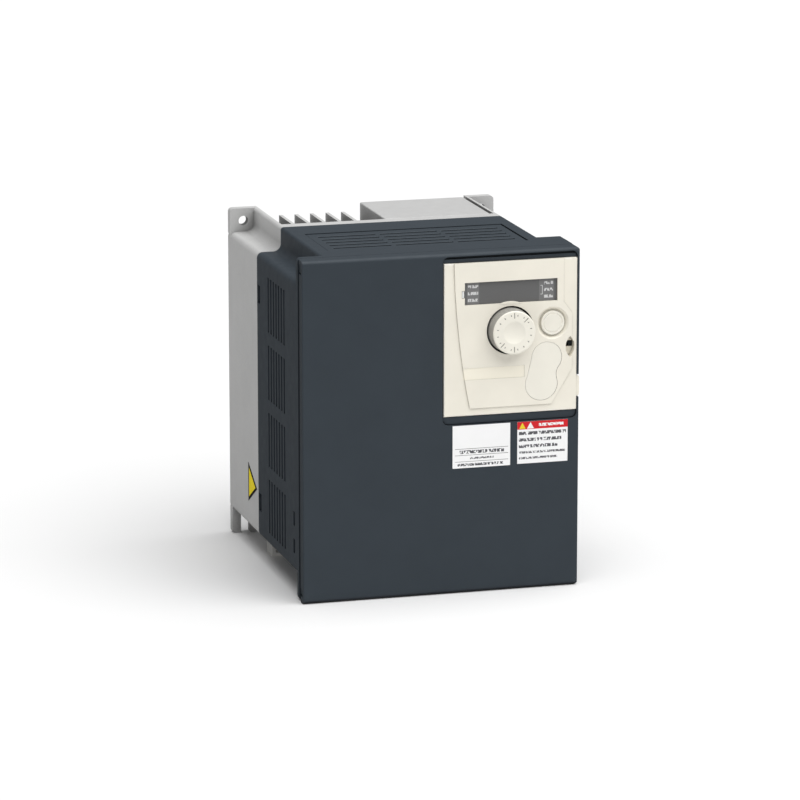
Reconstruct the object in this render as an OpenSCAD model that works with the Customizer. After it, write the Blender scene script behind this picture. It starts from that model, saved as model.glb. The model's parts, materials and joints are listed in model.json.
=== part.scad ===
// Wall-mounted variable frequency drive.
// Origin: the middle of the fixing pattern, on the wall. +X to the viewer's right, +Z up.
// The drive stands out from the wall along -Y, so a "depth" is a distance in front of the wall.

/* [Case] */
// Width across the case and the door
case_w = 142; // [141:0.5:146]
// Depth from the wall to the front of the door
case_d = 152; // [151:0.5:156]
// Height of the top face above the middle of the fixing pattern
top_z = 85; // [84.5:0.5:86]
// Height of the lower edge of the door and the feet
foot_z = -87.5; // [-90:0.5:-87]
// Height of the underside of the case
floor_z = -75; // [-76:0.5:-74]
// Width of the tower between the two notched top corners
tower_w = 117; // [115:1:118]
// Height of the ledge in each notched corner
ledge_z = 72.8; // [71:0.2:74]
// Thickness of the moulded and cast walls
wall = 2.4; // [2:0.1:2.6]

/* [Fixings] */
// Distance between the left and right fixings
fix_pitch_x = 128; // [126:0.5:129]
// Distance between the upper holes and the lower slots
fix_pitch_z = 157; // [156:0.5:158]
// Diameter of the fixing holes and width of the slots
fix_d = 5; // [4:0.5:5.5]
// Thickness of the ears and feet
ear_t = 5; // [4:0.5:7]

/* [Cooling] */
// Thickness of a cooling fin
fin_t = 1.8; // [1.4:0.1:2.4]
// Distance from one fin to the next
fin_pitch = 8.3; // [8:0.1:8.5]
// Side of the square fan frame
fan_size = 50; // [48:1:50]
// Number of fan blades
fan_blades = 7; // [5:1:9]

/* [Front] */
// Diameter of the jog dial
dial_d = 22.8; // [21:0.2:23]
// Height of the dial's face in front of the door
dial_proud = 7.5; // [6:0.5:9]
// Diameter of the escape button
esc_d = 12; // [10:0.2:12.2]
// Travel of the push buttons
press = 0.6; // [0.4:0.1:0.7]

/* [Hidden] */
$fn = 64;

half_w = case_w / 2;
tower_x = tower_w / 2;
fix_x = fix_pitch_x / 2;
fix_z = fix_pitch_z / 2;
corner_r = 3;
notch_r = 4;

// Depths of the main planes
plate_d = 54;
base_d = 61.5;
power_board_d = 80;
control_board_d = 112;
flange_d0 = case_d - 12;
flange_d1 = case_d - 8.5;
door_d0 = case_d - 8.2;
skin_d = case_d - 2.2;
keypad_board_d = case_d - 15;
pod_d = case_d - 29.5;
board_t = 1.6;
control_post_x = [-56, 54];
control_post_z = [-40, 60];
power_post_x = [-62, 62];
power_post_z = [-46, 62];
module_hole_x = [-52, -12];
module_hole_z = 25;

// Cooling channel on the left, component well on the right
channel_x0 = -tower_x + wall;
channel_x1 = -2;
fin_x0 = -52.3;
fin_count = 6;
fin_top = top_z - 4.6;
shelf_z = -57;
shelf_t = 3;
fan_x = -29;
fan_d = 27;
fan_h = 15;
fan_bore = 23.5;
plenum_r = 22;
plenum_h = 30;
fan_hub = 10;
fan_screw_x = fan_size / 2 - 5;
fan_z1 = shelf_z;
fan_z0 = fan_z1 - fan_h;
well_x = [-1.5, 54.5];
well_t = 2;
earth_x = [-58, -50];
lead_x = -49;
lead_z = -65;

// Roof grille
grille_x = 51;
grille_d = [83, 128];

// Hinge at the left edge of the door
hinge_r = 3;
lug_r = 2.2;
hinge_x = -half_w + hinge_r;
hinge_d = door_d0 + hinge_r;
pin_r = 1.25;
run_gap = 0.05;
hinge_upper = [top_z - 7.2, top_z - 2.2];
hinge_lower = [foot_z + 3, foot_z + 7];

// Keypad corner, upper right of the front: the opening in the door and the bezel inside it
opening_x = [0.4, half_w - 1.2];
opening_z = [-1.4, top_z - 1.7];
opening_r = 3;
opening_gap = 0.25;
panel_x = [0.9, half_w - 1.4];
panel_z = [2.7, 79.9];
tab_z = [9.4, 20.2];
tab_d = [case_d - 5.9, case_d - 0.8];
panel_d = case_d - 0.3;
shield_d = case_d + 0.4;
window_x = [11.5, 59.3];
window_z = [58.7, 70];
dial_x = 35;
dial_z = 45.1;
dial_r = dial_d / 2;
dial_well_r = dial_r + 0.8;
dial_rear = case_d - 3;
shaft_r = 3;
esc_x = 57;
esc_z = 47.5;
esc_r = esc_d / 2;
run_at = [53.9, 31.8];
run_r = 3.6;
stop_at = [51.2, 16.2];
stop_r = 4.2;
mode_at = [52.6, 24];
mode_r = 2.2;
button_gap = 0.08;
button_front = case_d - 1.9;
tact_d = keypad_board_d + board_t;
tact_top = tact_d + 5.2;
boss_x = [7, half_w - 7];
boss_z = [9, 74.5];

// Terminals
terminal_count = 11;
terminal_pitch = 10.5;
terminal_x0 = -terminal_pitch * (terminal_count - 1) / 2;
terminal_z = [-69, -50];
terminal_d1 = 126;
signal_count = 14;
signal_pitch = 5;
signal_x0 = -5;
signal_z = [-30, -16];
signal_d1 = 134;

// ---- Shared shapes ----

// Box between limits: x to the right, d forward from the wall, z up
module block(x, d, z) {
    translate([x[0], -d[1], z[0]])
        cube([x[1] - x[0], d[1] - d[0], z[1] - z[0]]);
}

// Round bar running forward from the wall
module bar(x, z, d, r) {
    translate([x, -d[0], z])
        rotate([90, 0, 0])
            cylinder(h = d[1] - d[0], r = r);
}

// Round bar standing upright
module post(x, d, z, r) {
    translate([x, -d, z[0]])
        cylinder(h = z[1] - z[0], r = r);
}

// Carries an outline in x and z forward from depth d[0] to d[1]
module forward(d) {
    translate([0, -d[0], 0])
        rotate([90, 0, 0])
            linear_extrude(d[1] - d[0])
                children();
}

// Outline of a rectangle with round corners
module rounded(x, z, r) {
    translate([x[0] + r, z[0]])
        square([x[1] - x[0] - 2 * r, z[1] - z[0]]);
    translate([x[0], z[0] + r])
        square([x[1] - x[0], z[1] - z[0] - 2 * r]);
    for (cx = [x[0] + r, x[1] - r], cz = [z[0] + r, z[1] - r])
        translate([cx, cz])
            circle(r);
}

// Outline of the case with its two notched top corners, shrunk by inset
module case_outline(inset) {
    fillet = notch_r + inset;
    ledge = ledge_z - inset;
    shoulder = tower_x - inset;
    rounded([-half_w + inset, half_w - inset], [floor_z + inset, ledge], corner_r);
    rounded([-shoulder, shoulder], [0, top_z - inset], 1.5);
    for (side = [0, 1])
        mirror([side, 0])
            difference() {
                translate([shoulder - 1, ledge - 1])
                    square(fillet + 1);
                translate([shoulder + fillet, ledge + fillet])
                    circle(fillet);
            }
}

// Pan-head screw running forward from depth d0, its head ending at depth d1
module front_screw(x, z, d0, d1, r, head_r, head_h) {
    difference() {
        union() {
            bar(x, z, [d0, d1 - head_h], r);
            bar(x, z, [d1 - head_h, d1], head_r);
        }
        block([x - head_r, x + head_r], [d1 - 0.8, d1 + 1], [z - 0.4, z + 0.4]);
        block([x - 0.4, x + 0.4], [d1 - 0.8, d1 + 1], [z - head_r, z + head_r]);
    }
}

// ---- Chassis ----

module ears_and_feet() {
    for (side = [0, 1])
        mirror([side, 0, 0]) {
            forward([0, ear_t])
                rounded([tower_x - wall, half_w], [ledge_z - wall, top_z], 2);
            forward([0, ear_t])
                rounded([tower_x - 1.5, half_w], [foot_z, floor_z + wall], 1.5);
        }
}

module snap_hooks() {
    arm_x = half_w - wall;
    for (side = [0, 1], z = [51.8, -56.5])
        mirror([side, 0, 0]) {
            block([arm_x - 2.2, arm_x - 0.1], [base_d - 1, 67], [z - 3.5, z + 3.5]);
            block([arm_x - 2.2, arm_x + 0.8], [63.5, 66.5], [z - 3.5, z + 3.5]);
        }
}

module heatsink() {
    color("gainsboro")
        difference() {
            union() {
                difference() {
                    forward([0, base_d])
                        case_outline(0);
                    forward([-1, plate_d])
                        case_outline(wall);
                    block([channel_x0, -channel_x0], [-1, plate_d], [floor_z - 1, top_z + 1]);
                }
                for (i = [0 : fin_count - 1]) {
                    x = fin_x0 + i * fin_pitch;
                    block([x - fin_t / 2, x + fin_t / 2], [4.5, plate_d + 1], [shelf_z + 1, fin_top]);
                }
                block([channel_x0 - 1, channel_x1], [3, plate_d + 1], [shelf_z, shelf_z + shelf_t]);
                ears_and_feet();
                snap_hooks();
                // Tie bar across the back, in the plane of the wall
                block([-half_w + 1, half_w - 1], [0, 3], [-6, 6]);
            }
            for (x = [-fix_x, fix_x]) {
                bar(x, fix_z, [-1, ear_t + 1], fix_d / 2);
                bar(x, -fix_z, [-1, ear_t + 1], fix_d / 2);
                block([x - fix_d / 2, x + fix_d / 2], [-1, ear_t + 1], [foot_z - 1, -fix_z]);
            }
            block([well_x[0] + well_t, well_x[1] - well_t], [plate_d - 1, base_d + 1],
                  [floor_z + well_t, top_z - well_t]);
            post(fan_x, fan_d, [shelf_z - 1, shelf_z + shelf_t], fan_bore);
            post(fan_x, fan_d, [shelf_z, shelf_z + plenum_h], plenum_r);
            for (sx = [-1, 1], sd = [-1, 1])
                post(fan_x + sx * fan_screw_x, fan_d + sd * fan_screw_x,
                     [shelf_z - 1, shelf_z + shelf_t - 0.5], 1.45);
            bar(lead_x, lead_z, [plate_d - 1, base_d + 1], 2.6);
            for (x = module_hole_x)
                bar(x, module_hole_z, [base_d - 5.5, base_d + 1], 2.05);
            for (x = earth_x)
                post(x, plate_d + 4, [floor_z - 1, floor_z + 6], 1.55);
        }
}

module capacitor_well() {
    color("lightgray")
        difference() {
            block(well_x, [4, plate_d], [floor_z, top_z]);
            block([well_x[0] + well_t, well_x[1] - well_t], [4 + well_t, plate_d + 1],
                  [floor_z + well_t, top_z - well_t]);
        }
}

bracket_x = [-64, -44];
bracket_z = [foot_z + 1, floor_z];
bracket_d = [50.4, base_d];

module earth_bracket() {
    color("silver")
        difference() {
            block(bracket_x, bracket_d, bracket_z);
            block([bracket_x[0] + 2, bracket_x[1] - 2], [bracket_d[0] - 1, bracket_d[1] + 1],
                  [bracket_z[0] + 2, bracket_z[1] - 2]);
            for (x = earth_x)
                post(x, plate_d + 4, [floor_z - 3, floor_z + 1], 1.6);
            post(-54, 55, [bracket_z[0] - 1, bracket_z[0] + 3], 2.05);
        }
}

module earth_screws() {
    color("darkkhaki") {
        for (x = earth_x) {
            post(x, plate_d + 4, [floor_z - 2, floor_z + 5.5], 1.5);
            post(x, plate_d + 4, [floor_z - 4, floor_z - 2], 2.8);
        }
        difference() {
            union() {
                post(-54, 55, [bracket_z[0] - 0.9, bracket_z[0] + 2], 2);
                post(-54, 55, [bracket_z[0] + 2, bracket_z[0] + 4.5], 3.8);
            }
            block([-58, -50], [54.5, 55.5], [bracket_z[0] + 3.5, bracket_z[0] + 5]);
        }
    }
}

// ---- Fan ----

module fan_frame() {
    color("dimgray")
        difference() {
            union() {
                difference() {
                    block([fan_x - fan_size / 2, fan_x + fan_size / 2],
                          [fan_d - fan_size / 2, fan_d + fan_size / 2], [fan_z0, fan_z1]);
                    post(fan_x, fan_d, [fan_z0 - 1, fan_z1 + 1], fan_bore);
                }
                post(fan_x, fan_d, [fan_z0, fan_z0 + 1.5], fan_hub);
                for (turn = [0 : 120 : 240])
                    translate([fan_x, -fan_d, fan_z0])
                        rotate([0, 0, turn])
                            translate([0, -1.5, 0])
                                cube([fan_bore + 0.5, 3, 1.5]);
                post(fan_x, fan_d, [fan_z0, fan_z0 + 11.5], 1.5);
            }
            for (sx = [-1, 1], sd = [-1, 1])
                post(fan_x + sx * fan_screw_x, fan_d + sd * fan_screw_x,
                     [fan_z0 - 1, fan_z1 + 1], 1.7);
        }
}

module fan_rotor() {
    hub_z = [fan_z0 + 2.2, fan_z1 - 1];
    color("black")
        difference() {
            union() {
                post(fan_x, fan_d, hub_z, fan_hub);
                for (i = [0 : fan_blades - 1])
                    translate([fan_x, -fan_d, (hub_z[0] + hub_z[1]) / 2])
                        rotate([0, 0, i * 360 / fan_blades])
                            translate([15.4, 0, 0])
                                rotate([42, 0, 0])
                                    cube([12.6, 11, 1.2], center = true);
            }
            post(fan_x, fan_d, [hub_z[0] - 1, fan_z0 + 12], 1.5 + run_gap);
        }
}

module fan_guard() {
    ring_z = fan_z0 - 1.1;
    color("silver")
        difference() {
            union() {
                for (r = [8, 15, 22])
                    translate([fan_x, -fan_d, ring_z])
                        rotate_extrude()
                            translate([r, 0])
                                circle(0.7, $fn = 24);
                for (turn = [45, 135])
                    translate([fan_x, -fan_d, ring_z])
                        rotate([0, 0, turn])
                            rotate([0, 90, 0])
                                cylinder(h = 2 * fan_screw_x * sqrt(2), r = 0.7, center = true, $fn = 24);
                for (sx = [-1, 1], sd = [-1, 1])
                    post(fan_x + sx * fan_screw_x, fan_d + sd * fan_screw_x,
                         [ring_z - 0.8, fan_z0], 2.9);
            }
            for (sx = [-1, 1], sd = [-1, 1])
                post(fan_x + sx * fan_screw_x, fan_d + sd * fan_screw_x,
                     [ring_z - 2, fan_z0 + 1], 1.6);
        }
}

module fan_screws() {
    head_z = fan_z0 - 1.9;
    color("dimgray")
        for (sx = [-1, 1], sd = [-1, 1])
            translate([fan_x + sx * fan_screw_x, -(fan_d + sd * fan_screw_x), 0])
                difference() {
                    union() {
                        translate([0, 0, head_z])
                            cylinder(h = shelf_z + shelf_t - 0.6 - head_z, r = 1.4);
                        translate([0, 0, head_z - 1.8])
                            cylinder(h = 1.8, r = 2.8);
                    }
                    translate([-3, -0.4, head_z - 2.8])
                        cube([6, 0.8, 1.8]);
                }
}

module fan_lead() {
    color("firebrick")
        for (x = [lead_x - 1, lead_x + 1])
            bar(x, lead_z, [fan_d + fan_size / 2, power_board_d], 0.8);
}

// ---- Case ----

// Slots in one side wall, in four groups
module side_slots() {
    for (group = [0 : 3], i = [0 : 6]) {
        z = 50 - 34.7 * group;
        d = 84.5 + 5.25 * i;
        block([half_w - wall - 1, half_w + 1], [d - 1.2, d + 1.2], [z - 14, z + 14]);
    }
}

module side_windows() {
    for (z = [51.8, -56.5])
        block([half_w - wall - 1, half_w + 1], [62.5, 67.6], [z - 4.7, z + 4.7]);
    for (z = [-48, -62])
        block([half_w - wall - 1, half_w + 1], [132.6, 135.8], [z - 3.6, z + 3.6]);
}

module hinge_lug(z) {
    block([hinge_x - lug_r, hinge_x + lug_r], [flange_d0, hinge_d], [z[0] + 0.4, z[1] - 0.4]);
    post(hinge_x, hinge_d, [z[0] + 0.4, z[1] - 0.4], lug_r);
}

module housing_shell() {
    difference() {
        union() {
            forward([base_d, flange_d0])
                case_outline(0);
            forward([pod_d, flange_d0])
                rounded([tower_x - 6, half_w], [ledge_z - 6, top_z], 1.5);
        }
        forward([base_d - 1, flange_d0 - wall])
            case_outline(wall);
        block([tower_x - 7, half_w - wall], [pod_d + wall, flange_d0 - wall],
              [ledge_z - 7, top_z - wall]);
    }
}

module housing() {
    color("darkslategray")
        difference() {
            union() {
                housing_shell();
                forward([flange_d0, flange_d1])
                    rounded([-half_w, half_w], [foot_z, top_z], 2);
                hinge_lug(hinge_upper);
                hinge_lug(hinge_lower);
            }
            // Terminal bay and keypad opening
            forward([flange_d0 - wall - 1, flange_d1 + 1])
                rounded([-62, 64], [floor_z + wall, -8], 2);
            block([3, half_w - 4], [flange_d0 - wall - 1, flange_d1 + 1], [5, 78]);
            // Cable entry in the floor
            block([-60, 60], [92, 134], [floor_z - 1, floor_z + wall + 1]);
            // Seat and opening for the roof grille
            block([-grille_x - 0.6, grille_x + 0.6], grille_d + [-0.5, 0.5], [top_z - 1.6, top_z + 1]);
            block([-grille_x + 2, grille_x - 2], grille_d + [2, -2], [top_z - wall - 1, top_z + 1]);
            for (side = [0, 1])
                mirror([side, 0, 0]) {
                    side_slots();
                    side_windows();
                }
            post(hinge_x, hinge_d, [hinge_upper[0], hinge_upper[1]], pin_r);
            post(hinge_x, hinge_d, [hinge_lower[0], hinge_lower[1]], pin_r);
        }
}

// Roof slot 2.9 mm wide that slopes down towards the front
module louvre(x, d) {
    translate([x - 14.8, 0, 0])
        rotate([90, 0, 90])
            linear_extrude(29.6)
                polygon([[-d, top_z + 1], [-d - 2.9, top_z + 1],
                         [-d - 6.1, top_z - 2.2], [-d - 3.2, top_z - 2.2]]);
}

module top_grille() {
    color("slategray")
        difference() {
            block([-grille_x, grille_x], grille_d, [top_z - 1.6, top_z - 0.3]);
            for (x = [-32, 0, 32], i = [0 : 4])
                louvre(x, grille_d[0] + 5.2 + 7.4 * i);
        }
}

// ---- Door ----

// Rounds the outer front edges of a piece that ends at depth front_d
module front_rounding(front_d) {
    intersection() {
        children();
        translate([0, 0, foot_z - 5])
            linear_extrude(top_z - foot_z + 10)
                rounded([-half_w, half_w], [-front_d, -100], 0.8);
        translate([-half_w - 5, 0, 0])
            rotate([90, 0, 90])
                linear_extrude(case_w + 10)
                    rounded([-front_d, -100], [foot_z, top_z], 2);
    }
}

// Outline of the keypad opening, grown by grow
module keypad_opening(grow) {
    widen = [-grow, grow];
    rounded(opening_x + widen, opening_z + widen, opening_r + grow);
}

module door_barrel() {
    z = [foot_z, top_z];
    post(hinge_x, hinge_d, z, hinge_r);
    block([-half_w, hinge_x + hinge_r], [hinge_d, case_d], z);
    block([hinge_x, hinge_x + hinge_r], [door_d0, case_d], z);
}

module front_door() {
    barrel_x1 = hinge_x + hinge_r;
    color("darkslategray")
        difference() {
            union() {
                front_rounding(case_d)
                    union() {
                        difference() {
                            forward([door_d0, case_d])
                                rounded([-half_w, half_w], [foot_z, top_z], 2);
                            difference() {
                                forward([door_d0 - 1, skin_d])
                                    rounded([barrel_x1 - 1, half_w - 2], [foot_z + 2, top_z - 2], 1);
                                forward([door_d0 - 2, skin_d + 1])
                                    keypad_opening(2);
                            }
                            block([-half_w - 1, barrel_x1], [door_d0 - 1, skin_d], [foot_z - 1, top_z + 1]);
                        }
                        door_barrel();
                    }
                // Locating tongues beside the terminal bay
                for (z = [-22, -58])
                    block([61.2, 63.4], [flange_d0 - 0.5, skin_d + 0.5], [z - 5, z + 5]);
                // Stiffening ribs on the inside
                for (z = [40, 8, -24, -56])
                    block([barrel_x1 - 1, z > 0 ? opening_x[0] - 1 : 60], [skin_d - 2, skin_d + 0.5],
                          [z - 0.6, z + 0.6]);
            }
            forward([door_d0 - 1, case_d + 1])
                keypad_opening(0);
            // Notch that clears the finger tab of the keypad
            block([half_w - 3, half_w + 1], [door_d0 - 1, case_d + 1], tab_z + [-0.4, 0.4]);
            block([-half_w - 1, barrel_x1 - 0.5], [door_d0 - 1, case_d - 1.8], hinge_upper);
            block([-half_w - 1, barrel_x1 - 0.5], [door_d0 - 1, case_d - 1.8], hinge_lower);
            post(hinge_x, hinge_d, [hinge_upper[0] - 3, hinge_upper[1] + 0.9], pin_r + run_gap);
            post(hinge_x, hinge_d, [hinge_lower[0] - 1, hinge_lower[1] + 3], pin_r + run_gap);
        }
}

module hinge_pins() {
    color("silver") {
        post(hinge_x, hinge_d, [hinge_upper[0] - 2.5, hinge_upper[1] + 0.7], pin_r);
        post(hinge_x, hinge_d, [hinge_lower[0] - 0.8, hinge_lower[1] + 2.5], pin_r);
    }
}

module name_label() {
    color("white")
        block([5.5, 35.3], [case_d, case_d + 0.15], [-23.5, -1.9]);
}

module caution_label() {
    color("whitesmoke")
        block([39, 65.2], [case_d, case_d + 0.15], [-23.2, -1.9]);
}

module side_label() {
    color("gold")
        translate([-half_w, 0, 0])
            rotate([0, -90, 0])
                linear_extrude(0.15)
                    polygon([[-41, -40.5], [-51.2, -58.5], [-61.4, -40.5]]);
}

// ---- Keypad ----

// Centre of a circle of radius r that touches two circles, on their right-hand side
function touching(a, ra, b, rb, r) =
    let (gap = b - a,
         span = norm(gap),
         da = ra + r,
         db = rb + r,
         along = (da * da - db * db + span * span) / (2 * span),
         across = sqrt(da * da - along * along),
         unit = gap / span)
    a + along * unit + across * [-unit[1], unit[0]];

lobe_top = [53.9, 30.2];
lobe_top_r = 7.8;
lobe_low = [51.2, 17];
lobe_low_r = 8.3;
waist_r = 7;

// Two-lobed outline of the blanking cover, grown by grow
module kidney(grow) {
    a = lobe_top_r + grow;
    b = lobe_low_r + grow;
    r = waist_r - grow;
    waist = touching(lobe_top, a, lobe_low, b, r);
    translate(lobe_top)
        circle(a);
    translate(lobe_low)
        circle(b);
    polygon([lobe_top, lobe_top - [a, 0], lobe_low - [b, 0], lobe_low]);
    difference() {
        polygon([lobe_top, lobe_low, waist]);
        translate(waist)
            circle(r);
    }
}

module keypad_bezel() {
    floor_d = case_d - 4.2;
    front_d = case_d - 0.9;
    color("darkslategray")
        difference() {
            forward([flange_d1, front_d])
                keypad_opening(-opening_gap);
            block([4, half_w - 4.4], [flange_d1 - 1, case_d], [5, 78]);
            // Seat of the keypad panel, open at both sides
            block([-1, half_w], [floor_d, case_d], panel_z + [-0.2, 0.2]);
            // Groove under the top edge of the door
            block([-1, half_w], [front_d - 1, case_d], [opening_z[1] - 1.3, opening_z[1]]);
            block([half_w - 5, half_w], [tab_d[0] - 0.2, case_d], tab_z + [-0.4, 0.4]);
        }
}

// Raised shield on the keypad, its left edge bowed outwards along a large arc
module shield() {
    top = [6.2, panel_z[1]];
    foot = [14.3, 6.6];
    bow_r = 411;
    chord = foot - top;
    across = [-chord[1], chord[0]] / norm(chord);
    centre = (top + foot) / 2 + across * sqrt(bow_r * bow_r - norm(chord) * norm(chord) / 4);
    intersection() {
        polygon([[0, panel_z[1]], [62.5, panel_z[1]], [62.5, 58], [67, 52], [67, 24],
                 [56.5, 6.6], [0, 6.6]]);
        translate(centre)
            circle(bow_r, $fn = 720);
    }
}

module keypad_panel() {
    boss_d0 = keypad_board_d + board_t;
    cup_d = case_d - 5.3;
    color("antiquewhite")
        difference() {
            union() {
                block(panel_x, [case_d - 4, panel_d], panel_z);
                forward([panel_d - 1, shield_d])
                    shield();
                bar(dial_x, dial_z, [cup_d, case_d - 1], dial_well_r + 1.6);
                forward(tab_d)
                    rounded([half_w - 4, half_w + 0.3], tab_z, 1.6);
                for (x = boss_x, z = boss_z)
                    bar(x, z, [boss_d0, case_d - 3], 2.4);
            }
            // Hollow back, leaving the boss and cup walls
            difference() {
                block([panel_x[0] + 2.3, panel_x[1] - 2.3], [case_d - 5, case_d - 1.9],
                      [panel_z[0] + 2.5, panel_z[1] - 2.1]);
                bar(dial_x, dial_z, [cup_d - 1, case_d], dial_well_r + 1.6);
                bar(esc_x, esc_z, [cup_d - 1, case_d], 9);
                forward([cup_d - 1, case_d])
                    kidney(1.6);
                for (x = boss_x, z = boss_z)
                    bar(x, z, [boss_d0, case_d], 2.4);
                block([62, 70], [cup_d, case_d], [27, 43]);
            }
            // Display aperture
            block(window_x, [case_d - 6, case_d + 1], window_z);
            // Dial well and shaft hole
            bar(dial_x, dial_z, [case_d - 3.8, case_d + 1], dial_well_r);
            bar(dial_x, dial_z, [cup_d - 1, case_d], 3.8);
            // Escape button: dished recess, then its guide hole
            translate([esc_x, -shield_d, esc_z])
                rotate([-90, 0, 0])
                    cylinder(h = 1.7, r1 = 8.2, r2 = 6.6);
            bar(esc_x, esc_z, [cup_d - 1, case_d + 1], esc_r + button_gap);
            // Seat of the blanking cover, and the holes of the buttons under it
            forward([case_d - 2.3, case_d + 1])
                kidney(0.12);
            for (button = [[run_at, run_r], [stop_at, stop_r], [mode_at, mode_r]])
                bar(button[0][0], button[0][1], [cup_d - 1, case_d], button[1] + button_gap);
            // Almond-shaped finger recess with its slot
            forward([case_d - 3.4, case_d + 1])
                intersection() {
                    translate([61.4, 35])
                        circle(7.1);
                    translate([70.8, 35])
                        circle(7.1);
                }
            block([63.8, 68.4], [case_d - 6, case_d], [34.4, 37.4]);
            // Blank strip
            block([10.9, 42.4], [shield_d - 0.2, shield_d + 1], [21, 27]);
            // Small pilot light beside the window
            block([10, 12], [case_d - 6, case_d + 1], [62.3, 66]);
            for (x = boss_x, z = boss_z)
                bar(x, z, [boss_d0 - 1, case_d - 5], 1.05);
        }
}

module display_window() {
    color("dimgray", 0.6)
        block([window_x[0] + 0.05, window_x[1] - 0.05], [case_d - 2.3, case_d - 0.7],
              [window_z[0] + 0.05, window_z[1] - 0.05]);
}

// One seven-segment digit, centred at x and z, with its face at depth d
module digit(x, z, d) {
    w = 3.6;
    h = 3.4;
    bar_w = 0.7;
    for (k = [-1, 0, 1])
        block([x - w / 2 + 0.5, x + w / 2 - 0.5], [d, d + 0.2],
              [z + k * h - bar_w / 2, z + k * h + bar_w / 2]);
    for (side = [-1, 1], k = [-1, 1])
        block([x + side * w / 2 - bar_w / 2, x + side * w / 2 + bar_w / 2], [d, d + 0.2],
              [z + k * h / 2 - 1.25, z + k * h / 2 + 1.25]);
}

module segment_display() {
    front = case_d - 2.8;
    color("black")
        block([20, 49.5], [tact_d, front], [59.6, 69]);
    color("maroon")
        for (i = [0 : 3])
            digit(24 + i * 7.2, 64.3, front);
}

module status_leds() {
    color("limegreen") {
        for (x = [13.6, 57.2], z = [61, 64.4, 67.8])
            bar(x, z, [tact_d, case_d - 2.6], 0.9);
        block([10.2, 11.2], [tact_d, case_d + 0.2], [62.5, 65.8]);
    }
}

module jog_dial() {
    front = case_d + dial_proud - dial_rear;
    dish_r = 6.2;
    rim_r = 0.7;
    color("linen")
        translate([dial_x, -dial_rear, dial_z])
            rotate([90, 0, 0])
                difference() {
                    rotate_extrude($fn = 96)
                        difference() {
                            union() {
                                square([dial_r, front - rim_r]);
                                square([dial_r - rim_r, front]);
                                translate([dial_r - rim_r, front - rim_r])
                                    circle(rim_r, $fn = 48);
                            }
                            // Dished centre
                            translate([0, front + 14])
                                circle(norm([14, dish_r]), $fn = 160);
                            // Hollow rear around the hub
                            translate([5, -1])
                                square([dial_r - 6.5, front - 2]);
                            translate([-1, -1])
                                square([1 + shaft_r, front - 2.5]);
                        }
                    // Sixteen short marks and two long ones to each side
                    for (i = [0 : 15])
                        rotate([0, 0, 11.25 + i * 22.5])
                            translate([8.6, -0.25, front - 0.3])
                                cube([1, 0.5, 1]);
                    for (turn = [45, 90, 225, 270])
                        rotate([0, 0, turn])
                            translate([7.4, -0.25, front - 0.3])
                                cube([3, 0.5, 1]);
                }
}

module dial_shaft() {
    color("silver")
        bar(dial_x, dial_z, [tact_d + 1.6, case_d + dial_proud - 3.5], shaft_r);
}

module encoder_body() {
    color("darkgray")
        difference() {
            union() {
                block([dial_x - 6.5, dial_x + 6.5], [tact_d, tact_d + 5.8], [dial_z - 6.5, dial_z + 6.5]);
                bar(dial_x, dial_z, [tact_d + 5.8, tact_d + 8], 3.7);
            }
            bar(dial_x, dial_z, [tact_d + 0.8, tact_d + 9], shaft_r + run_gap);
            bar(dial_x, dial_z, [tact_d + 1.4, tact_d + 4.4], 5);
        }
}

module encoder_rotor() {
    color("khaki")
        difference() {
            bar(dial_x, dial_z, [tact_d + 1.6, tact_d + 4.2], 4.9);
            bar(dial_x, dial_z, [tact_d, tact_d + 6], shaft_r + run_gap);
        }
}

// Push button with a retaining collar behind the panel
module push_button(at, r, front) {
    bar(at[0], at[1], [tact_top + press + 0.5, front], r);
    bar(at[0], at[1], [tact_top + press + 0.1, tact_top + press + 0.9], r + 0.7);
}

module esc_button() {
    color("linen")
        push_button([esc_x, esc_z], esc_r, case_d + 0.1);
}

module run_button() {
    color("seagreen")
        push_button(run_at, run_r, button_front);
}

module stop_button() {
    color("firebrick")
        push_button(stop_at, stop_r, button_front);
}

module mode_button() {
    color("slategray")
        push_button(mode_at, mode_r, button_front);
}

module blanking_cover() {
    color("linen")
        difference() {
            forward([case_d - 2.2, shield_d])
                kidney(0);
            forward([case_d - 3, case_d - 0.8])
                kidney(-1.2);
        }
}

module keypad_board() {
    color("darkgreen")
        difference() {
            block([4.5, half_w - 4.5], [keypad_board_d, keypad_board_d + board_t], [6.5, 77]);
            for (x = boss_x, z = boss_z)
                bar(x, z, [keypad_board_d - 1, keypad_board_d + 3], 1.2);
        }
}

module keypad_screws() {
    color("dimgray")
        for (x = boss_x, z = boss_z) {
            bar(x, z, [keypad_board_d, case_d - 6], 1);
            bar(x, z, [keypad_board_d - 1.5, keypad_board_d], 1.9);
        }
}

module tact_switches() {
    color("black")
        for (at = [[esc_x, esc_z], run_at, stop_at, mode_at]) {
            block([at[0] - 3, at[0] + 3], [tact_d, tact_d + 3.5], [at[1] - 3, at[1] + 3]);
            bar(at[0], at[1], [tact_d + 3.5, tact_top], 1.7);
        }
}

module ribbon_cable() {
    z = 12;
    d0 = control_board_d + board_t;
    color("lightsteelblue") {
        block([12, 32], [d0, keypad_board_d], [z, z + 0.8]);
        for (d = [d0, keypad_board_d - 4])
            block([10.5, 33.5], [d, d + 4], [z - 2, z + 2.8]);
    }
}

// ---- Control electronics ----

module control_board() {
    color("darkgreen")
        difference() {
            block([-62, 64], [control_board_d, control_board_d + board_t], [-46, 66]);
            for (x = control_post_x, z = control_post_z)
                bar(x, z, [control_board_d - 1, control_board_d + 3], 1.7);
        }
}

module control_standoffs() {
    color("silver")
        for (x = control_post_x, z = control_post_z)
            difference() {
                bar(x, z, [power_board_d + board_t, control_board_d], 3);
                bar(x, z, [control_board_d - 10, control_board_d + 1], 1.55);
            }
}

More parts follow.
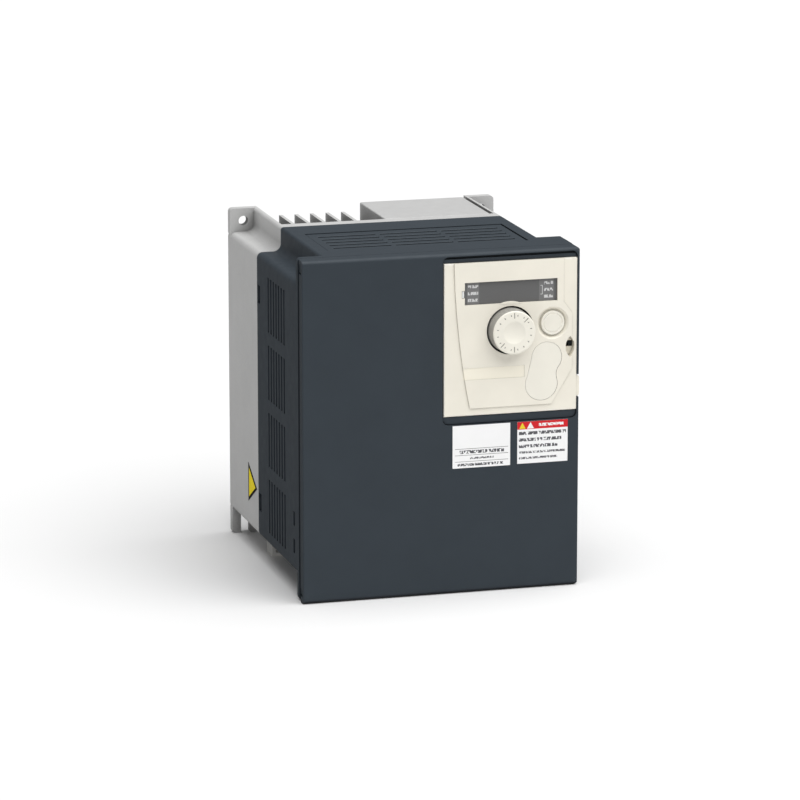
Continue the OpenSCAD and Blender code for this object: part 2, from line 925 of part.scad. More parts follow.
module control_terminals() {
    d0 = control_board_d + board_t;
    color("darkolivegreen")
        difference() {
            block([signal_x0 - 3.5, signal_x0 + 3.5 + signal_pitch * (signal_count - 1)],
                  [d0, signal_d1], signal_z);
            for (i = [0 : signal_count - 1]) {
                x = signal_x0 + i * signal_pitch;
                bar(x, signal_z[1] - 4.5, [signal_d1 - 4, signal_d1 + 1], 1.9);
                bar(x, signal_z[1] - 4.5, [signal_d1 - 10, signal_d1], 1.25);
                block([x - 1.6, x + 1.6], [signal_d1 - 10, signal_d1 - 6.5],
                      [signal_z[0] - 1, signal_z[0] + 6]);
            }
        }
}

module control_terminal_screws() {
    color("silver")
        for (i = [0 : signal_count - 1])
            front_screw(signal_x0 + i * signal_pitch, signal_z[1] - 4.5,
                        signal_d1 - 9, signal_d1 - 1.8, 1.2, 1.8, 1.2);
}

module comms_socket() {
    d0 = control_board_d + board_t;
    color("gray")
        difference() {
            block([-31, -15], [d0, d0 + 18], [-33, -19]);
            block([-29, -17], [d0 + 2, d0 + 19], [-31, -23.5]);
            block([-26, -20], [d0 + 8, d0 + 19], [-24, -20.5]);
        }
}

module logic_switch_base() {
    d0 = control_board_d + board_t;
    color("black")
        difference() {
            block([-48, -37], [d0, d0 + 5], [-29, -23]);
            block([-46.5, -38.5], [d0 + 2, d0 + 6], [-27.5, -24.5]);
        }
}

module logic_switch() {
    d0 = control_board_d + board_t;
    color("white")
        block([-43.8, -41.2], [d0 + 2.1, d0 + 7], [-27.4, -24.6]);
}

module control_chips() {
    d0 = control_board_d + board_t;
    color("black") {
        block([-40, -24], [d0, d0 + 1.6], [10, 26]);
        block([-12, -2], [d0, d0 + 1.8], [20, 34]);
        block([-50, -43], [d0, d0 + 1.8], [-4, 6]);
        block([-20, -8], [d0, d0 + 2], [-10, -2]);
    }
}

// ---- Power electronics ----

module power_board() {
    color("darkgreen")
        difference() {
            block([-66, 66], [power_board_d, power_board_d + board_t], [-70, 68]);
            for (x = power_post_x, z = power_post_z)
                bar(x, z, [power_board_d - 1, power_board_d + 3], 1.7);
        }
}

module board_standoffs() {
    color("silver")
        for (x = power_post_x, z = power_post_z)
            difference() {
                bar(x, z, [base_d, power_board_d], 3);
                bar(x, z, [power_board_d - 10, power_board_d + 1], 1.55);
            }
}

module board_screws() {
    color("silver") {
        for (x = power_post_x, z = power_post_z)
            front_screw(x, z, power_board_d - 9, power_board_d + board_t + 2, 1.5, 2.8, 2);
        for (x = control_post_x, z = control_post_z)
            front_screw(x, z, control_board_d - 9, control_board_d + board_t + 2, 1.5, 2.8, 2);
    }
}

module power_terminals() {
    d0 = power_board_d + board_t;
    color("gray")
        difference() {
            block([terminal_x0 - 5.4, -terminal_x0 + 5.4], [d0, terminal_d1], terminal_z);
            for (i = [0 : terminal_count - 1]) {
                x = terminal_x0 + i * terminal_pitch;
                bar(x, -56.5, [terminal_d1 - 10, terminal_d1 + 1], 3.9);
                bar(x, -56.5, [terminal_d1 - 22, terminal_d1 - 9], 2.05);
                block([x - 3.8, x + 3.8], [terminal_d1 - 24, terminal_d1 - 13], [terminal_z[0] - 1, -61]);
            }
        }
}

module power_terminal_screws() {
    color("silver")
        for (i = [0 : terminal_count - 1])
            front_screw(terminal_x0 + i * terminal_pitch, -56.5,
                        terminal_d1 - 21, terminal_d1 - 7.5, 2, 3.6, 2.5);
}

module power_module() {
    color("whitesmoke")
        difference() {
            block([-56, -8], [base_d + 0.5, base_d + 12.5], [-5, 55]);
            for (x = module_hole_x)
                bar(x, module_hole_z, [base_d, base_d + 14], 2.3);
        }
    color("silver")
        for (x = [-50 : 6 : -14], z = [-1, 51])
            bar(x, z, [base_d + 12.5, power_board_d], 0.5);
}

module module_screws() {
    color("silver")
        for (x = module_hole_x)
            front_screw(x, module_hole_z, base_d - 5, base_d + 15, 2, 3.8, 2.5);
}

module thermal_pad() {
    color("white")
        difference() {
            block([-57, -7], [base_d, base_d + 0.5], [-6, 56]);
            for (x = module_hole_x)
                bar(x, module_hole_z, [base_d - 1, base_d + 2], 2.4);
        }
}

module bus_capacitors() {
    can_r = 15.5;
    can_d = [18, power_board_d];
    can_h = can_d[1] - can_d[0];
    color("midnightblue")
        for (i = [0 : 3])
            translate([26.5, -can_d[0], 58 - 33 * i])
                rotate([90, 0, 0])
                    rotate_extrude()
                        difference() {
                            square([can_r, can_h]);
                            translate([can_r + 0.6, can_h - 5])
                                circle(1.4, $fn = 32);
                            translate([-1, -1])
                                square([can_r - 1, 1.6]);
                        }
}

module filter_choke() {
    at = [-36, 30];
    d0 = power_board_d + board_t;
    translate([at[0], -d0, at[1]])
        rotate([90, 0, 0]) {
            color("forestgreen")
                rotate_extrude()
                    translate([10, 1.5])
                        square([6, 12]);
            color("sienna")
                for (i = [0 : 15])
                    rotate([0, 0, i * 22.5])
                        difference() {
                            translate([8.4, -0.75, 0])
                                cube([9.2, 1.5, 15]);
                            translate([9.9, -1, 1.5])
                                cube([6.2, 2, 12]);
                        }
        }
}

module relays() {
    d0 = power_board_d + board_t;
    color("black")
        for (x = [22, 40], z = [34])
            block([x, x + 14], [d0, d0 + 16], [z, z + 20]);
}

module transformer() {
    d0 = power_board_d + board_t;
    color("goldenrod")
        difference() {
            block([-10, 12], [d0, d0 + 22], [20, 26]);
            block([-11, 13], [d0 + 8, d0 + 14], [19, 21]);
        }
    color("saddlebrown")
        block([-8, 10], [d0 + 3, d0 + 19], [26, 42]);
    color("goldenrod")
        block([-10, 12], [d0, d0 + 22], [42, 48]);
}

module current_sensors() {
    d0 = power_board_d + board_t;
    color("black")
        for (x = [-34, -8, 18])
            difference() {
                block([x, x + 14], [d0, d0 + 10], [-42, -24]);
                block([x + 4, x + 10], [d0 + 4, d0 + 11], [-37, -29]);
            }
}

heatsink();
capacitor_well();
earth_bracket();
earth_screws();
fan_frame();
fan_rotor();
fan_guard();
fan_screws();
fan_lead();
housing();
top_grille();
front_door();
hinge_pins();
name_label();
caution_label();
side_label();
keypad_bezel();
keypad_panel();
display_window();
segment_display();
status_leds();
jog_dial();
dial_shaft();
encoder_body();
encoder_rotor();
esc_button();
run_button();
stop_button();
mode_button();
blanking_cover();
keypad_board();
keypad_screws();
tact_switches();
ribbon_cable();
control_board();
control_standoffs();
control_terminals();
control_terminal_screws();
comms_socket();
logic_switch_base();
logic_switch();
control_chips();
power_board();
board_standoffs();
board_screws();
power_terminals();
power_terminal_screws();
power_module();
module_screws();
thermal_pad();
bus_capacitors();
filter_choke();
relays();
transformer();
current_sensors();
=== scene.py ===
"""Looks of the wall-mounted drive: moulded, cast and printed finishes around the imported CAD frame."""
import json
import math
import random

import bmesh
import bpy
from mathutils import Matrix, Vector


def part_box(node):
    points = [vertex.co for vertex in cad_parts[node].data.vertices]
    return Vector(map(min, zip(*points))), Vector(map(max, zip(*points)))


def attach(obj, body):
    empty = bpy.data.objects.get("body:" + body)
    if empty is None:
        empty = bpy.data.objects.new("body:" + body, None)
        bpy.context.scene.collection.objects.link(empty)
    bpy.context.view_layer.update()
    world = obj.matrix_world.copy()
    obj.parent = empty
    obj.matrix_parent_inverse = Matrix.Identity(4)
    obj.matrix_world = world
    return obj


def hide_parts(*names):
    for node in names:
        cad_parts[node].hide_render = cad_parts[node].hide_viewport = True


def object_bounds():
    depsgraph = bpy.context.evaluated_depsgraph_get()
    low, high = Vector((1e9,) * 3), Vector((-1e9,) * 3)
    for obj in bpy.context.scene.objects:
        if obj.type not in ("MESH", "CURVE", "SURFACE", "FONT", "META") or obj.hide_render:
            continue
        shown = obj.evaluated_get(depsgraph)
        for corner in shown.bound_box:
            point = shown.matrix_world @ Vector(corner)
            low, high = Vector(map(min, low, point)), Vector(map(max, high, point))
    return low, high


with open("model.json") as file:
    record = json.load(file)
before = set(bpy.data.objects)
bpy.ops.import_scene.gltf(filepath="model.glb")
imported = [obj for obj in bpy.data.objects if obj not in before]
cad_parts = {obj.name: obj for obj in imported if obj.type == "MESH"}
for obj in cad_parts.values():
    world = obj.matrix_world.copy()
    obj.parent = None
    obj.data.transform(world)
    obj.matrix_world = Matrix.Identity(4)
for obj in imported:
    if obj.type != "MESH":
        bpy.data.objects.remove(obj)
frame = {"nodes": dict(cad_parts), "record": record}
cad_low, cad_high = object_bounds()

MM = 0.001
CASE_COLOUR = (0.0352, 0.0462, 0.0575)
CASE_SHINE = 0.3
ALUMINIUM_COLOUR = (0.585, 0.585, 0.58)
LOUVRE_ROUND_MM = 0.25    # rounding of the top grille's edges
SHARP = math.radians(28)    # edges that turn more than this are rounded
SLOT_OF = {part["node"]: part["material_slot"] for part in frame["record"]["subparts"]}
BODY_OF = {node: body for body, nodes in frame["record"]["behaviour"]["bodies"].items() for node in nodes}


# ---- Node materials ----

class Surface:
    """One procedural material. Sizes are in millimetres, on coordinates that travel with the piece."""

    def __init__(self, name, colour, roughness, metallic=0.0):
        self.material = bpy.data.materials.new(name)
        self.material.use_nodes = True
        self.nodes = self.material.node_tree.nodes
        self.links = self.material.node_tree.links
        self.shader = self.nodes["Principled BSDF"]
        self.shader.inputs["Metallic"].default_value = metallic
        self.coordinates = self.nodes.new("ShaderNodeTexCoord").outputs["Object"]
        self.roughness = roughness
        self.shader.inputs["Roughness"].default_value = roughness
        rgb = self.nodes.new("ShaderNodeRGB")
        rgb.outputs[0].default_value = (*colour, 1.0)
        self.colour = rgb.outputs[0]
        self.normal = None

    def noise(self, size_mm, detail=3.0, stretch=(1, 1, 1)):
        """Noise from 0 to 1 whose features are about size_mm across."""
        mapping = self.nodes.new("ShaderNodeMapping")
        mapping.inputs["Scale"].default_value = stretch
        self.links.new(self.coordinates, mapping.inputs["Vector"])
        texture = self.nodes.new("ShaderNodeTexNoise")
        texture.inputs["Scale"].default_value = 1 / (size_mm * MM)
        texture.inputs["Detail"].default_value = detail
        self.links.new(mapping.outputs[0], texture.inputs["Vector"])
        return texture.outputs["Fac"]

    def cells(self, size_mm):
        """Distance from the nearest point of a random grain about size_mm across."""
        texture = self.nodes.new("ShaderNodeTexVoronoi")
        texture.inputs["Scale"].default_value = 1 / (size_mm * MM)
        self.links.new(self.coordinates, texture.inputs["Vector"])
        return texture.outputs["Distance"]

    def axis(self, letter):
        """One coordinate in millimetres."""
        split = self.nodes.new("ShaderNodeSeparateXYZ")
        self.links.new(self.coordinates, split.inputs[0])
        return self.math("MULTIPLY", split.outputs[letter], 1 / MM)

    def math(self, operation, a, b=0.0):
        """a and b are sockets or numbers."""
        node = self.nodes.new("ShaderNodeMath")
        node.operation = operation
        for socket, value in zip(node.inputs, (a, b)):
            if isinstance(value, (int, float)):
                socket.default_value = value
            else:
                self.links.new(value, socket)
        return node.outputs[0]

    def between(self, value, low, high):
        """1 where the value lies between low and high, else 0."""
        above = self.math("GREATER_THAN", value, low)
        below = self.math("LESS_THAN", value, high)
        return self.math("MULTIPLY", above, below)

    def spread(self, value, low, high, from_low=0.3, from_high=0.7):
        """Stretches the middle of a noise to run from low to high."""
        node = self.nodes.new("ShaderNodeMapRange")
        node.inputs["From Min"].default_value = from_low
        node.inputs["From Max"].default_value = from_high
        node.inputs["To Min"].default_value = low
        node.inputs["To Max"].default_value = high
        self.links.new(value, node.inputs["Value"])
        return node.outputs[0]

    def paint(self, mask, colour):
        """Lays another colour over the base where mask is 1."""
        mix = self.nodes.new("ShaderNodeMix")
        mix.data_type = "RGBA"
        self.links.new(mask, mix.inputs["Factor"])
        self.links.new(self.colour, mix.inputs["A"])
        mix.inputs["B"].default_value = (*colour, 1.0)
        self.colour = mix.outputs["Result"]
        return self

    def mottle(self, size_mm, amount):
        """Slow brightness variation of the base colour."""
        self.dim(self.spread(self.noise(size_mm), 1 - amount, 1 + amount))
        return self

    def dim(self, factor):
        """Multiplies the colour by factor."""
        scale = self.nodes.new("ShaderNodeVectorMath")
        scale.operation = "SCALE"
        self.links.new(self.colour, scale.inputs[0])
        self.links.new(factor, scale.inputs["Scale"])
        self.colour = scale.outputs[0]

    def wear(self, colour, amount=0.5, size_mm=2.5):
        """Rubbed colour on the rounded edges, which carry the face attribute edge_wear."""
        attribute = self.nodes.new("ShaderNodeAttribute")
        attribute.attribute_name = "edge_wear"
        patches = self.spread(self.noise(size_mm, 5.0), 0.0, amount, 0.4, 0.65)
        return self.paint(self.math("MULTIPLY", attribute.outputs["Fac"], patches), colour)

    def paint_gap_shade(self, reach_mm, darkest):
        """Paints shade into gaps narrower than about reach_mm: darkens the colour by ambient occlusion,
        down to the given share of itself.
        """
        shade = self.nodes.new("ShaderNodeAmbientOcclusion")
        shade.samples = 6
        shade.inputs["Distance"].default_value = reach_mm * MM
        self.dim(self.spread(shade.outputs["AO"], darkest, 1.0, 0.15, 0.85))
        return self

    def gloss_patches(self, size_mm, amount):
        """Roughness that drifts by amount either way."""
        value = self.spread(self.noise(size_mm, 4.0), self.roughness - amount, self.roughness + amount)
        self.links.new(value, self.shader.inputs["Roughness"])
        return self

    def bump(self, height, depth_mm):
        """Relief of the given depth, on top of any bump already there."""
        node = self.nodes.new("ShaderNodeBump")
        node.inputs["Distance"].default_value = depth_mm * MM
        self.links.new(height, node.inputs["Height"])
        if self.normal:
            self.links.new(self.normal, node.inputs["Normal"])
        self.normal = node.outputs["Normal"]
        return self

    def done(self):
        self.links.new(self.colour, self.shader.inputs["Base Color"])
        if self.normal:
            self.links.new(self.normal, self.shader.inputs["Normal"])
        return self.material


def moulded_plastic(name, colour, roughness=0.5, grain_mm=0.35, grain_depth=0.012):
    """Thermoplastic with a spark-eroded mould texture."""
    surface = Surface(name, colour, roughness)
    surface.mottle(18, 0.03)
    surface.gloss_patches(6, 0.04)
    surface.bump(surface.noise(grain_mm, 2.0), grain_depth)
    lighter = tuple(min(1.0, c * 1.5 + 0.02) for c in colour)
    surface.wear(lighter, 0.35)
    return surface


def case_plastic():
    """Dark blue-grey with little shine, and painted shade in its gaps."""
    surface = moulded_plastic("case_plastic", CASE_COLOUR, 0.56)
    # painted shade: colour darkened in gaps up to about 4 mm wide
    surface.paint_gap_shade(4, 0.25)
    surface.shader.inputs["Specular IOR Level"].default_value = CASE_SHINE
    return surface.done()


def grille_plastic():
    """Like the case, with painted shade: near black and without shine down the louvres and round the rim.
    """
    surface = moulded_plastic("grille_plastic", CASE_COLOUR, 0.54)
    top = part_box("top_grille")[1].z / MM
    # painted shade: below the rounded top, the louvres and the rim are near black with no shine
    louvre_shade_mask = surface.math("LESS_THAN", surface.axis("Z"), top - LOUVRE_ROUND_MM)
    surface.paint(louvre_shade_mask, (0.006, 0.008, 0.010))
    level = surface.math("SUBTRACT", CASE_SHINE, surface.math("MULTIPLY", louvre_shade_mask, CASE_SHINE))
    surface.links.new(level, surface.shader.inputs["Specular IOR Level"])
    return surface.done()


def cream_plastic():
    """Keypad moulding, with the paler blank strip across its shield, painted shade in the well around the
    dial and in its gaps.
    """
    surface = moulded_plastic("cream_plastic", (0.87, 0.83, 0.725), 0.48, 0.3, 0.008)
    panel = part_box("keypad_panel")[0] / MM
    strip_left = panel.x + 10.0
    strip_foot = panel.z + 18.3
    strip = bar_mask(surface, strip_left, strip_left + 31.5, strip_foot, strip_foot + 6.0)
    surface.paint(strip, (0.93, 0.88, 0.745))
    # painted shade: the well around the dial is near black
    surface.paint(dial_well_shade(surface), (0.05, 0.048, 0.045))
    # painted shade: colour darkened in gaps up to about 1.5 mm wide
    surface.paint_gap_shade(1.5, 0.35)
    return surface.done()


def from_dial_axis(surface):
    """Sockets for the distances across and up from the dial's axis, in millimetres."""
    low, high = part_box("jog_dial")
    x = surface.math("SUBTRACT", surface.axis("X"), (low.x + high.x) / 2 / MM)
    z = surface.math("SUBTRACT", surface.axis("Z"), (low.z + high.z) / 2 / MM)
    return x, z


def dial_well_shade(surface, margin_mm=0.9, depth_mm=0.5):
    """Mask for painted shade: 1 inside the well around the dial, behind the face of the keypad."""
    low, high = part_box("jog_dial")
    x, z = from_dial_axis(surface)
    squared = surface.math("ADD", surface.math("POWER", x, 2), surface.math("POWER", z, 2))
    radius_mm = (high.x - low.x) / 2 / MM
    within = surface.math("LESS_THAN", squared, (radius_mm + margin_mm) ** 2)
    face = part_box("keypad_panel")[0].y / MM
    behind = surface.math("GREATER_THAN", surface.axis("Y"), face + depth_mm)
    return surface.math("MULTIPLY", within, behind)


def button_plastic():
    return moulded_plastic("button_plastic", (0.87, 0.84, 0.745), 0.4, 0.25, 0.005).done()


def tick_ink():
    """Grey filling of the marks on the dial."""
    return moulded_plastic("tick_ink", (0.27, 0.262, 0.24), 0.6).done()


def shaded_dial_grip():
    """Finely ribbed side of the dial, coloured greyer than the cream face as painted shade."""
    # painted shade: the side's colour is a darker grey than the cream face
    surface = moulded_plastic("shaded_dial_grip", (0.36, 0.35, 0.32), 0.55, 0.3, 0.01)
    rib_count = 90
    x, z = from_dial_axis(surface)
    turn = surface.math("ARCTAN2", z, x)
    surface.bump(surface.math("SINE", surface.math("MULTIPLY", turn, rib_count)), 0.05)
    return surface.done()


def black_plastic():
    return moulded_plastic("black_plastic", (0.022, 0.022, 0.024), 0.45).done()


def grey_plastic():
    return moulded_plastic("grey_plastic", (0.30, 0.31, 0.31), 0.5).done()


def green_plastic():
    return moulded_plastic("green_plastic", (0.05, 0.20, 0.09), 0.45).done()


def red_plastic():
    return moulded_plastic("red_plastic", (0.45, 0.03, 0.02), 0.42).done()


def white_plastic():
    return moulded_plastic("white_plastic", (0.78, 0.78, 0.76), 0.45).done()


def cast_aluminium():
    """Shot-blasted casting: fine grain, faint flow marks, brighter rubbed edges, and painted shade in its
    gaps.
    """
    surface = Surface("cast_aluminium", ALUMINIUM_COLOUR, 0.6, 0.2)
    surface.mottle(30, 0.03)
    surface.mottle(1.2, 0.02)
    surface.gloss_patches(8, 0.06)
    surface.bump(surface.cells(0.45), 0.012)
    surface.bump(surface.noise(0.25, 3.0), 0.010)
    surface.wear((0.75, 0.75, 0.74), 0.5)
    # painted shade: colour darkened in the fin channels and recesses
    surface.paint_gap_shade(16, 0.3)
    return surface.done()


def well_aluminium():
    """Satin sheet, brushed from back to front, with painted shade in its gaps."""
    surface = Surface("well_aluminium", ALUMINIUM_COLOUR, 0.5, 0.2)
    surface.mottle(40, 0.02)
    surface.gloss_patches(5, 0.05)
    surface.bump(surface.noise(0.4, 3.0, (1, 0.05, 1)), 0.004)
    surface.wear((0.78, 0.78, 0.77), 0.5)
    # painted shade: colour darkened in the gaps around the well
    surface.paint_gap_shade(16, 0.3)
    return surface.done()


def zinc_steel():
    """Passivated zinc plating with a faint bloom."""
    surface = Surface("zinc_steel", (0.60, 0.60, 0.58), 0.35, 0.9)
    surface.mottle(5, 0.05)
    surface.paint(surface.spread(surface.noise(3, 4.0), 0.0, 0.15), (0.62, 0.58, 0.45))
    surface.gloss_patches(2, 0.08)
    surface.bump(surface.noise(0.3, 3.0), 0.004)
    return surface.done()


def black_steel():
    surface = Surface("black_steel", (0.035, 0.035, 0.036), 0.4, 0.6)
    surface.mottle(3, 0.1)
    surface.gloss_patches(1.5, 0.08)
    surface.bump(surface.noise(0.2, 2.0), 0.004)
    surface.wear((0.3, 0.3, 0.3), 0.4)
    return surface.done()


def smoked_window():
    """Smoked cover with paler zones at both ends, which carry rows of dashes and a bracket."""
    low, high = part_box("display_window")
    left, right = low.x / MM, high.x / MM
    middle = (low.z + high.z) / 2 / MM
    left_end = left + 7.6
    right_end = right - 9.2
    surface = Surface("smoked_window", (0.138, 0.138, 0.138), 0.22)
    x = surface.axis("X")
    left_zone = surface.between(x, left + 1.4, left_end)
    right_zone = surface.between(x, right_end, right - 1.6)
    surface.paint(surface.math("ADD", left_zone, right_zone), (0.19, 0.19, 0.19))
    ink = (0.62, 0.62, 0.62)
    row_pitch = 3.4
    for row in (-1, 0, 1):
        height = middle + row_pitch * row
        printed_row(surface, left + 1.8, left_end - 0.5, height, 1.5, ink)
        printed_row(surface, right_end + 2.6, right - 2.0, height, 1.5, ink)
    window_bracket(surface, right_end + 1.7, middle, ink)
    surface.mottle(10, 0.015)
    surface.gloss_patches(4, 0.03)
    surface.bump(surface.noise(3, 1.0), 0.003)
    return surface.done()


def window_bracket(surface, post, middle, ink):
    """Thin square bracket whose upright stands at post."""
    reach = 2.2
    half_line = 0.15
    upright = bar_mask(surface, post - half_line, post + half_line, middle - reach, middle + reach)
    surface.paint(upright, ink)
    for height in (middle - reach, middle + reach):
        surface.paint(bar_mask(surface, post - 1.0, post, height - half_line, height + half_line), ink)


def display_face():
    surface = Surface("display_face", (0.03, 0.03, 0.03), 0.25)
    surface.mottle(2, 0.05)
    surface.gloss_patches(1, 0.04)
    surface.bump(surface.noise(0.5, 2.0), 0.003)
    return surface.done()


def lamp_lens():
    surface = Surface("lamp_lens", (0.82, 0.83, 0.82), 0.2)
    surface.mottle(1, 0.03)
    surface.gloss_patches(1, 0.05)
    surface.bump(surface.noise(0.6, 1.0), 0.003)
    surface.shader.inputs["Subsurface Weight"].default_value = 0.2
    surface.shader.inputs["Subsurface Radius"].default_value = (MM, MM, MM)
    return surface.done()


def label_base(name):
    """Coated label stock."""
    surface = Surface(name, (0.93, 0.93, 0.93), 0.42)
    surface.mottle(12, 0.012)
    surface.gloss_patches(6, 0.04)
    surface.bump(surface.noise(0.5, 3.0), 0.003)
    return surface


def bar_mask(surface, x_low, x_high, z_low, z_high):
    """1 inside an upright rectangle seen from the front, in millimetres."""
    across = surface.between(surface.axis("X"), x_low, x_high)
    return surface.math("MULTIPLY", across, surface.between(surface.axis("Z"), z_low, z_high))


def printed_row(surface, x_low, x_high, height, weight, colour=(0.10, 0.10, 0.11)):
    """Broken dashes that read as a line of small print from afar, without any letters."""
    row = bar_mask(surface, x_low, x_high, height - weight / 2, height + weight / 2)
    dash = weight * 0.55
    broken = surface.math("GREATER_THAN", surface.noise(dash, 1.0, (1, 0, 0.5)), 0.46)
    surface.paint(surface.math("MULTIPLY", row, broken), colour)


def plain_triangle(surface, x_middle, z_low, z_high, colour):
    """Upright triangle a little wider than it is high, without a symbol."""
    half_width_per_height = 0.55
    z = surface.axis("Z")
    offset = surface.math("ABSOLUTE", surface.math("SUBTRACT", surface.axis("X"), x_middle))
    reach = surface.math("MULTIPLY", surface.math("SUBTRACT", z_high, z), half_width_per_height)
    inside = surface.math("LESS_THAN", offset, reach)
    surface.paint(surface.math("MULTIPLY", inside, surface.between(z, z_low, z_high)), colour)


def name_label_print():
    """Blank upper half, then three ruled rows of dashes."""
    low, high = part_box("name_label")
    left, right = low.x / MM, high.x / MM
    top = high.z / MM
    height = (high.z - low.z) / MM
    surface = label_base("name_label_print")
    half_line = 0.11
    for share in (0.55, 0.70, 0.85):
        rule = top - height * share
        thin = bar_mask(surface, left + 1.2, right - 1.0, rule - half_line, rule + half_line)
        surface.paint(thin, (0.1, 0.1, 0.1))
    rows = ((0.625, 3.6, 3.2, 1.7), (0.775, 9.0, 8.6, 1.0), (0.925, 2.6, 3.4, 1.3))
    for share, from_left, from_right, weight in rows:
        printed_row(surface, left + from_left, right - from_right, top - height * share, weight)
    return surface.done()


def caution_label_print():
    """Red header with two plain triangles, over three bold and two finer rows of dashes."""
    low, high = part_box("caution_label")
    left, right = low.x / MM, high.x / MM
    top = high.z / MM
    surface = label_base("caution_label_print")
    header = 3.9
    surface.paint(bar_mask(surface, left, right, top - header, top), (0.68, 0.004, 0.012))
    plain_triangle(surface, left + 2.6, top - 3.5, top - 0.5, (0.85, 0.66, 0.02))
    plain_triangle(surface, left + 6.8, top - 3.6, top - 0.3, (0.9, 0.9, 0.9))
    printed_row(surface, left + 11.2, right - 2.2, top - 1.9, 1.5, (0.9, 0.9, 0.9))
    first_bold, bold_pitch = top - 5.9, 3.3
    for row in range(3):
        printed_row(surface, left + 0.8, right - 0.9 - 2.2 * row, first_bold - bold_pitch * row, 1.6)
    first_fine, fine_pitch = top - 15.6, 2.9
    for row in range(2):
        printed_row(surface, left + 0.9, right - 1.4 - 4 * row, first_fine - fine_pitch * row, 1.1)
    return surface.done()


def side_label_print():
    """Yellow triangle inside a black border, without a symbol."""
    low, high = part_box("side_label")
    border = 1.5
    surface = Surface("side_label_print", (0.008, 0.008, 0.008), 0.6)
    surface.shader.inputs["Specular IOR Level"].default_value = 0.1
    half = (high.z - low.z) / 2 / MM
    length = (high.y - low.y) / MM
    slant = math.hypot(half, length)
    middle = (high.z + low.z) / 2 / MM
    across = surface.math("ABSOLUTE", surface.math("SUBTRACT", surface.axis("Z"), middle))
    along = surface.math("SUBTRACT", high.y / MM, surface.axis("Y"))
    widened = surface.math("MULTIPLY", across, length)
    used = surface.math("ADD", surface.math("MULTIPLY", along, half), widened)
    from_slant = surface.math("DIVIDE", surface.math("SUBTRACT", half * length, used), slant)
    nearest = surface.math("MINIMUM", from_slant, along)
    surface.paint(surface.math("GREATER_THAN", nearest, border), (0.90, 0.72, 0.01))
    surface.mottle(8, 0.02)
    surface.gloss_patches(4, 0.04)
    surface.bump(surface.noise(0.5, 3.0), 0.003)
    return surface.done()


def board_laminate():
    """Green solder mask over copper tracks."""
    surface = Surface("board_laminate", (0.015, 0.12, 0.045), 0.35)
    tracks = surface.nodes.new("ShaderNodeTexBrick")
    tracks.inputs["Scale"].default_value = 1 / (14 * MM)
    tracks.inputs["Mortar Size"].default_value = 0.05
    turn = surface.nodes.new("ShaderNodeMapping")
    turn.inputs["Rotation"].default_value = (math.pi / 2, 0, 0)
    surface.links.new(surface.coordinates, turn.inputs["Vector"])
    surface.links.new(turn.outputs[0], tracks.inputs["Vector"])
    surface.paint(surface.math("MULTIPLY", tracks.outputs["Fac"], 0.5), (0.03, 0.22, 0.08))
    surface.mottle(3, 0.06)
    surface.bump(tracks.outputs["Fac"], 0.03)
    return surface.done()


def capacitor_sleeve():
    surface = Surface("capacitor_sleeve", (0.015, 0.025, 0.09), 0.28)
    surface.mottle(6, 0.06)
    surface.gloss_patches(3, 0.05)
    surface.bump(surface.noise(2, 2.0), 0.01)
    return surface.done()


def choke_copper():
    """Enamelled wire laid side by side."""
    surface = Surface("choke_copper", (0.50, 0.20, 0.07), 0.3, 0.8)
    surface.mottle(2, 0.1)
    surface.gloss_patches(1, 0.06)
    surface.bump(surface.noise(0.6, 2.0, (1, 1, 4)), 0.05)
    return surface.done()


def transformer_tape():
    surface = Surface("transformer_tape", (0.70, 0.46, 0.06), 0.4)
    surface.mottle(4, 0.05)
    surface.gloss_patches(3, 0.06)
    surface.bump(surface.noise(1.5, 2.0), 0.02)
    return surface.done()


def thermal_paste():
    surface = Surface("thermal_paste", (0.82, 0.82, 0.80), 0.7)
    surface.mottle(3, 0.04)
    surface.gloss_patches(2, 0.05)
    surface.bump(surface.noise(1, 4.0), 0.03)
    return surface.done()


def cable_jacket():
    surface = Surface("cable_jacket", (0.45, 0.03, 0.025), 0.45)
    surface.mottle(3, 0.06)
    surface.gloss_patches(2, 0.05)
    surface.bump(surface.noise(0.6, 2.0), 0.008)
    return surface.done()


def ribbon_jacket():
    """Flat cable: grooves between the conductors."""
    half_pitch = 0.635
    surface = Surface("ribbon_jacket", (0.45, 0.47, 0.50), 0.5)
    groove = surface.math("PINGPONG", surface.axis("X"), half_pitch)
    surface.bump(groove, 0.3)
    surface.mottle(4, 0.04)
    surface.gloss_patches(3, 0.04)
    return surface.done()


FINISHES = {
    "cast_aluminium": cast_aluminium(), "well_aluminium": well_aluminium(),
    "zinc_steel": zinc_steel(), "black_steel": black_steel(),
    "case_plastic": case_plastic(), "grille_plastic": grille_plastic(),
    "cream_plastic": cream_plastic(), "button_plastic": button_plastic(),
    "black_plastic": black_plastic(), "grey_plastic": grey_plastic(),
    "green_plastic": green_plastic(), "red_plastic": red_plastic(),
    "white_plastic": white_plastic(), "smoked_window": smoked_window(),
    "display_face": display_face(), "lamp_lens": lamp_lens(),
    "label_paper": name_label_print(), "label_yellow": side_label_print(),
    "board_laminate": board_laminate(), "capacitor_sleeve": capacitor_sleeve(),
    "choke_copper": choke_copper(), "transformer_tape": transformer_tape(),
    "thermal_paste": thermal_paste(), "cable_jacket": cable_jacket(),
    "ribbon_jacket": ribbon_jacket(),
}


# ---- Shapes ----

def add_piece(name, bm, material, node):
    """Makes a piece of a finished mesh in the given material, riding on the body of the CAD node it goes
    with.
    """
    data = bpy.data.meshes.new(name)
    bm.to_mesh(data)
    bm.free()
    data.materials.append(material)
    piece = bpy.data.objects.new(name, data)
    bpy.context.scene.collection.objects.link(piece)
    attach(piece, BODY_OF[node])
    return piece


